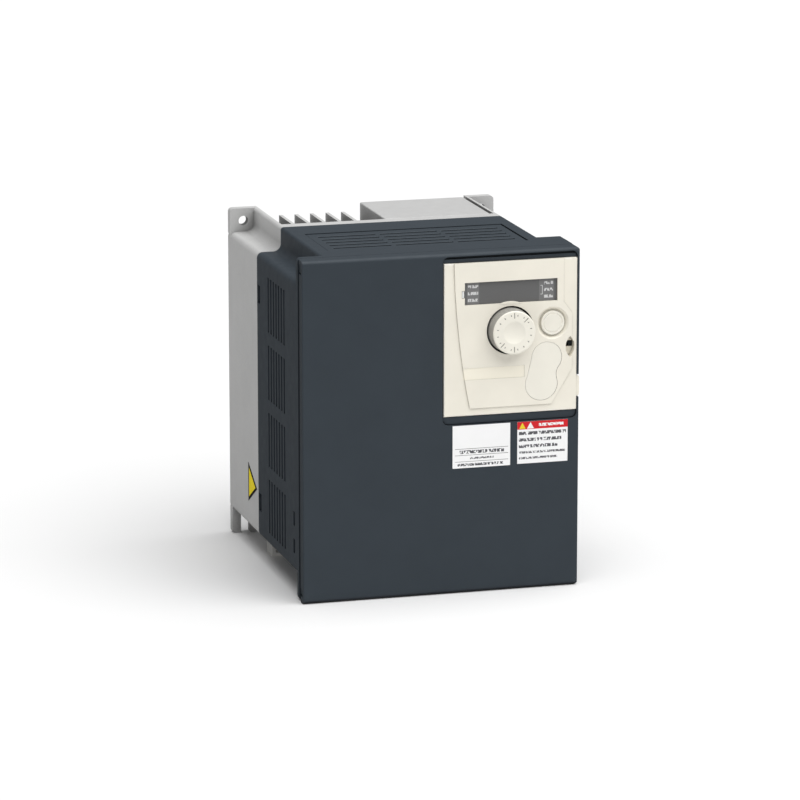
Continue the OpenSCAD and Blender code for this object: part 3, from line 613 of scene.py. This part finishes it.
def round_edges(bm, radius_mm, segments=2, chosen=None):
    """Rounds the sharp edges, or only the chosen ones, and marks the new faces with edge_wear."""
    wear = bm.faces.layers.float.get("edge_wear") or bm.faces.layers.float.new("edge_wear")
    sharp = [e for e in bm.edges if e.is_manifold and e.calc_face_angle(0) > SHARP]
    if chosen:
        sharp = [e for e in sharp if chosen(e)]
    result = bmesh.ops.bevel(bm, geom=sharp, offset=radius_mm * MM, offset_type="OFFSET",
                             segments=segments, profile=0.5, affect="EDGES", clamp_overlap=True,
                             loop_slide=True)
    for face in result["faces"]:
        face[wear] = 1.0


def clean_mesh(node):
    """The CAD node's shape as a welded mesh with whole flat faces."""
    bm = bmesh.new()
    bm.from_mesh(frame["nodes"][node].data)
    bmesh.ops.remove_doubles(bm, verts=bm.verts, dist=MM * 0.001)
    bmesh.ops.dissolve_limit(bm, angle_limit=math.radians(0.5), verts=bm.verts, edges=bm.edges)
    return bm


def smooth_shading(piece):
    """Smooth faces with normals led by the large ones, so that rounded edges shade as in a moulding."""
    for polygon in piece.data.polygons:
        polygon.use_smooth = True
    normals = piece.modifiers.new("normals", "WEIGHTED_NORMAL")
    normals.weight = 100
    normals.keep_sharp = True


def stand_in(node, bm):
    """Turns the finished mesh into the piece that stands for a CAD node."""
    piece = add_piece(node + "_moulding", bm, FINISHES[SLOT_OF[node]], node)
    smooth_shading(piece)
    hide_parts(node)
    return piece


def rounded_copy(node, radius_mm):
    """Stands for a CAD node with the same shape, its edges rounded."""
    bm = clean_mesh(node)
    round_edges(bm, radius_mm)
    stand_in(node, bm)


def in_plane(edge, y):
    """True for an edge that lies in the upright plane at y."""
    return all(abs(vert.co.y - y) < 0.05 * MM for vert in edge.verts)


def keypad_panel():
    """Panel with a broad round along its front outline, and soft edges on the shield and its window."""
    low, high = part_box("keypad_panel")
    glass_low, glass_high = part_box("display_window")
    shield = low.y
    face = shield + 0.7 * MM
    close = 0.1 * MM
    window_margin = 0.6 * MM
    shield_left = low.x + 14.5 * MM

    def outline(edge):
        a, b = (v.co for v in edge.verts)
        left = max(a.x, b.x) < low.x + close
        end = min(a.z, b.z) > high.z - close or max(a.z, b.z) < low.z + close
        return in_plane(edge, face) and (left or end)

    def shield_edge(edge):
        a, b = (v.co for v in edge.verts)
        upright = abs(a.z - b.z) > 5 * abs(a.x - b.x)
        return in_plane(edge, shield) and max(a.x, b.x) < shield_left and upright

    def window_edge(edge):
        a, b = (v.co for v in edge.verts)
        middle = (a + b) / 2
        across = glass_low.x - window_margin < middle.x < glass_high.x + window_margin
        up = glass_low.z - window_margin < middle.z < glass_high.z + window_margin
        return in_plane(edge, shield) and across and up

    bm = clean_mesh("keypad_panel")
    round_edges(bm, 0.8, 3, outline)
    round_edges(bm, 0.6, 4, shield_edge)
    round_edges(bm, 0.45, 3, window_edge)
    round_edges(bm, 0.15, 2)
    stand_in("keypad_panel", bm)


def esc_button():
    """Button with a shallow ring pressed into its face."""
    bm = clean_mesh("esc_button")
    front = min(vert.co.y for vert in bm.verts) + 0.001 * MM
    caps = [face for face in bm.faces if face.calc_center_median().y < front]
    cap = max(caps, key=lambda face: face.calc_area())
    for inward_mm, down_mm in ((0.9, 0.0), (0.15, 0.4), (0.3, 0.0), (0.15, -0.4)):
        bmesh.ops.inset_region(bm, faces=[cap], thickness=inward_mm * MM, depth=-down_mm * MM)
    round_edges(bm, 0.12, 2)
    stand_in("esc_button", bm)


def jog_dial():
    """Dial with grey marks and a side painted greyer as shade, which narrows slightly towards the front."""
    low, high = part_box("jog_dial")
    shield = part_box("keypad_panel")[0].y
    middle = (low + high) / 2
    radius = (high.x - low.x) / 2
    mark_floor = low.y + 0.3 * MM
    taper = 0.045
    bm = clean_mesh("jog_dial")
    for face in bm.faces:
        centre = face.calc_center_median()
        reach = math.hypot(centre.x - middle.x, centre.z - middle.z)
        if all(abs(vert.co.y - mark_floor) < 0.02 * MM for vert in face.verts):
            face.material_index = 1
        elif abs(face.normal.y) < 0.1 and reach > radius - 0.3 * MM:
            face.material_index = 2
    for vert in bm.verts:
        forward = (shield - vert.co.y) / (shield - low.y)
        if forward > 0:
            vert.co.x -= (vert.co.x - middle.x) * taper * forward
            vert.co.z -= (vert.co.z - middle.z) * taper * forward
    round_edges(bm, 0.08)
    dial = stand_in("jog_dial", bm)
    dial.data.materials.append(tick_ink())
    # the grip finish on the side is painted greyer as shade
    dial.data.materials.append(shaded_dial_grip())


# Rounding in millimetres. A node that isn't listed keeps its CAD shape or has its own function above.
EDGE_RADII = {
    "heatsink": 0.5, "capacitor_well": 0.8, "earth_bracket": 0.3, "fan_frame": 0.3,
    "housing": 0.35, "top_grille": LOUVRE_ROUND_MM, "front_door": 0.4, "keypad_bezel": 0.35,
    "display_window": 0.15, "blanking_cover": 0.2,
    "run_button": 0.4, "stop_button": 0.4, "mode_button": 0.3,
    "status_leds": 0.1, "fan_rotor": 0.2, "relays": 0.4, "current_sensors": 0.3,
    "control_chips": 0.15, "comms_socket": 0.3, "power_terminals": 0.3, "control_terminals": 0.2,
    "transformer": 0.2, "power_module": 0.4, "encoder_body": 0.2, "fan_lead": 0.1,
    "board_screws": 0.2, "power_terminal_screws": 0.2, "control_terminal_screws": 0.1,
    "module_screws": 0.2, "fan_screws": 0.2, "earth_screws": 0.2, "logic_switch": 0.15,
    "logic_switch_base": 0.2, "tact_switches": 0.15, "name_label": 0.02, "side_label": 0.02,
}


def finish_cad_nodes():
    """Gives every CAD node the finish of its slot; the caution label has its own print."""
    for name, node in frame["nodes"].items():
        node.data.materials.clear()
        node.data.materials.append(FINISHES[SLOT_OF[name]])
    caution = frame["nodes"]["caution_label"].data.materials
    caution.clear()
    caution.append(caution_label_print())


def islands(node):
    """Low and high corners of each separate lump of a CAD node."""
    bm = clean_mesh(node)
    waiting = set(bm.verts)
    corners = []
    while waiting:
        lump = {waiting.pop()}
        edge_of_lump = set(lump)
        while edge_of_lump:
            found = {e.other_vert(v) for v in edge_of_lump for e in v.link_edges} - lump
            lump |= found
            edge_of_lump = found
        waiting -= lump
        axes = [[v.co[k] for v in lump] for k in range(3)]
        corners.append((Vector(map(min, axes)), Vector(map(max, axes))))
    bm.free()
    return sorted(corners, key=lambda pair: tuple(pair[0]))


def prism(bm, outline, z_low, z_high):
    """Closed prism over an outline of (x, y) points."""
    bottom = [bm.verts.new((x, y, z_low)) for x, y in outline]
    face = bm.faces.new(bottom)
    raised = bmesh.ops.extrude_face_region(bm, geom=[face])["geom"]
    moved = [v for v in raised if isinstance(v, bmesh.types.BMVert)]
    bmesh.ops.translate(bm, verts=moved, vec=(0, 0, z_high - z_low))


def chip_pins():
    """Bent legs down both long sides of every chip on the control board."""
    pitch = 1.27 * MM
    half_width = 0.2 * MM
    sheet = 0.15 * MM
    shoulder, knee, toe = 0.5 * MM, 0.9 * MM, 1.5 * MM
    set_back = 0.1 * MM
    bm = bmesh.new()
    for low, high in islands("control_chips"):
        board = high.y
        lift = (high.y - low.y) * 0.55
        profile = ((0, lift), (shoulder, lift), (knee, sheet), (toe, sheet), (toe, 0),
                   (knee - set_back, 0), (shoulder - set_back, lift - sheet), (0, lift - sheet))
        count = int((high.z - low.z) / pitch)
        start = (low.z + high.z) / 2 - (count - 1) * pitch / 2
        for side, wall in ((-1, low.x), (1, high.x)):
            outline = [(wall + side * out, board - up) for out, up in profile]
            for row in range(count):
                z = start + row * pitch
                prism(bm, outline, z - half_width, z + half_width)
    bmesh.ops.recalc_face_normals(bm, faces=bm.faces)
    piece = add_piece("chip_pins", bm, FINISHES["zinc_steel"], "control_chips")


def dial_brow():
    """Sliver of the round over the dial, laid across the lower edge of the window."""
    dial_low, dial_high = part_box("jog_dial")
    middle = (dial_low + dial_high) / 2
    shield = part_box("keypad_panel")[0].y
    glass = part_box("display_window")[0]
    drop = glass.z - middle.z
    radius = drop + 0.8 * MM
    below_window = 0.5 * MM
    into_glass = 0.1 * MM
    proud = 0.12 * MM
    reach = math.acos((drop - below_window) / radius)
    steps = 20
    turns = [reach * (2 * step / steps - 1) for step in range(steps + 1)]
    outline = [(middle.x + radius * math.sin(t), middle.z + radius * math.cos(t)) for t in turns]
    bm = bmesh.new()
    prism(bm, outline, -glass.y - into_glass, -shield + proud)
    bmesh.ops.rotate(bm, verts=bm.verts, matrix=Matrix.Rotation(math.pi / 2, 3, "X"))
    bmesh.ops.recalc_face_normals(bm, faces=bm.faces)
    round_edges(bm, 0.08)
    smooth_shading(add_piece("dial_brow", bm, FINISHES["cream_plastic"], "keypad_panel"))


def brick(bm, low, high, index):
    """Box between two corners with its edges just broken, in the given material."""
    corners = bmesh.ops.create_cube(bm, size=1.0)["verts"]
    for vert in corners:
        vert.co = Vector(h if c > 0 else l for c, l, h in zip(vert.co, low, high))
    for face in dict.fromkeys(face for vert in corners for face in vert.link_faces):
        face.material_index = index
    edges = dict.fromkeys(edge for vert in corners for edge in vert.link_edges)
    bmesh.ops.bevel(bm, geom=list(edges), offset=0.07 * MM, segments=1, affect="EDGES")


def surface_part(bm, x, z, board, size):
    """One small component centred at x and z on the board: a body between two metal ends."""
    length, width, thick = (value * MM for value in size)
    metal_length = 0.35 * MM
    proud = 0.03 * MM
    inner = length / 2 - metal_length
    half = width / 2
    top = board - thick
    brick(bm, (x - inner, top, z - half), (x + inner, board, z + half), random.choice((0, 2)))
    for end in (-1, 1):
        near, far = sorted((x + end * inner, x + end * length / 2))
        brick(bm, (near, top - proud, z - half - proud), (far, board, z + half + proud), 1)


def surface_parts():
    """Rows of small resistors and capacitors on the front of the control board, beside the terminals."""
    random.seed(11)
    low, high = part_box("control_board")
    sizes = ((1.6, 0.8, 0.5), (2.0, 1.2, 0.7), (3.2, 1.6, 0.9))
    row_end = high.x / MM - 16
    bm = bmesh.new()
    for above_foot in (34.5, 11.5, 3.0):
        x = low.x / MM + 11
        while x < row_end:
            z = low.z / MM + above_foot + random.uniform(-0.6, 0.6)
            size = random.choice(sizes)
            surface_part(bm, x * MM, z * MM, low.y, size)
            x += size[0] + random.uniform(1.2, 4.5)
    piece = add_piece("surface_parts", bm, FINISHES["black_plastic"], "control_chips")
    piece.data.materials.append(FINISHES["zinc_steel"])
    piece.data.materials.append(FINISHES["transformer_tape"])


# ---- Studio ----

def studio_floor():
    """Pale paper, kept out of reflections so that the left side stays deep."""
    bpy.ops.mesh.primitive_plane_add(size=30, location=(0, 0, cad_low.z - 0.2 * MM))
    floor = bpy.context.object
    floor.name = "floor"
    surface = Surface("floor_paper", (0.83, 0.83, 0.83), 0.85)
    surface.mottle(300, 0.004)
    surface.bump(surface.noise(2, 3.0), 0.01)
    floor.data.materials.append(surface.done())
    floor.visible_glossy = False


def sun(name, azimuth, elevation, strength, spread_deg):
    """A soft sun shining from the given side: azimuth 0 is the front, 90 the right."""
    light = bpy.data.lights.new(name, "SUN")
    light.energy = strength
    light.angle = math.radians(spread_deg)
    lamp = bpy.data.objects.new(name, light)
    bpy.context.scene.collection.objects.link(lamp)
    a = math.radians(azimuth)
    e = math.radians(elevation)
    source = Vector((math.sin(a) * math.cos(e), -math.cos(a) * math.cos(e), math.sin(e)))
    lamp.rotation_mode = "QUATERNION"
    lamp.rotation_quaternion = source.to_track_quat("Z", "Y")


def studio_light():
    world = bpy.data.worlds.new("studio")
    bpy.context.scene.world = world
    world.use_nodes = True
    world.node_tree.nodes["Background"].inputs["Color"].default_value = (1.0, 1.0, 1.0, 1.0)
    world.node_tree.nodes["Background"].inputs["Strength"].default_value = 0.2
    sun("key", azimuth=30, elevation=69, strength=3.55, spread_deg=75)
    sun("fill", azimuth=-80, elevation=15, strength=0.22, spread_deg=90)


def camera():
    """Three-quarter view from the left and a little above, with a long lens."""
    azimuth = math.radians(-15.8)
    elevation = math.radians(12.92)
    distance = 2.311
    target = Vector((0, -0.076, -0.007))
    back = Vector((math.sin(azimuth) * math.cos(elevation),
                   -math.cos(azimuth) * math.cos(elevation), math.sin(elevation)))
    lens = bpy.data.cameras.new("camera")
    lens.lens = 204.0
    lens.sensor_width = 36
    lens.shift_y = 0.005
    lens.clip_start = 0.1
    lens.clip_end = 50
    view = bpy.data.objects.new("camera", lens)
    bpy.context.scene.collection.objects.link(view)
    view.location = target + back * distance
    view.rotation_mode = "QUATERNION"
    view.rotation_quaternion = (-back).to_track_quat("-Z", "Y")
    bpy.context.scene.camera = view


finish_cad_nodes()
for node_name, radius in EDGE_RADII.items():
    rounded_copy(node_name, radius)
keypad_panel()
esc_button()
jog_dial()
dial_brow()
chip_pins()
surface_parts()
studio_floor()
studio_light()
camera()
bpy.context.scene.view_settings.view_transform = "Standard"
